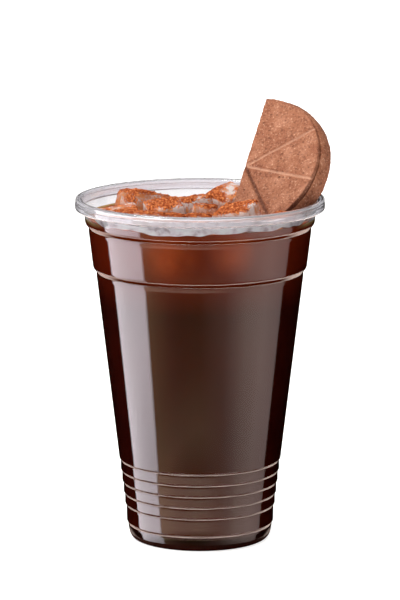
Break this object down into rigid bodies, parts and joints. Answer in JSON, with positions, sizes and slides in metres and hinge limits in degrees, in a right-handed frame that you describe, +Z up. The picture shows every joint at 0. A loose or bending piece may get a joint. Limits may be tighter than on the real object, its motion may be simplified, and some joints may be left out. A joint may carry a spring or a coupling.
{
  "type": "iced coffee",
  "caption": "Clear takeaway cup of iced coffee with ribs near its foot, ice blocks at the top under a dusting of cocoa, and half a scored chocolate disc leaning on its rolled rim.",
  "frame": {"origin": "middle of the cup's foot, on the plane it stands on", "axes": "+Z up the cup's axis, +X towards the side where the chocolate leans out over the rim, -Y towards the scored side of the chocolate"},
  "size_m": [0.1004, 0.098, 0.1716],
  "materials": {
    "clear_plastic": "clear gloss",
    "coffee": "wet gloss",
    "ice": "melting, clouded inside",
    "chocolate": "satin, grainy"
  },
  "bodies": {
    "root": {"cup": "clear_plastic", "coffee": "coffee", "chocolate_half": "chocolate", "ice_1": "ice", "ice_2": "ice", "ice_3": "ice", "ice_4": "ice", "ice_5": "ice", "ice_6": "ice", "ice_7": "ice", "ice_8": "ice", "ice_9": "ice", "ice_10": "ice", "ice_11": "ice", "ice_12": "ice", "ice_13": "ice", "ice_14": "ice"}
  },
  "joints": []
}
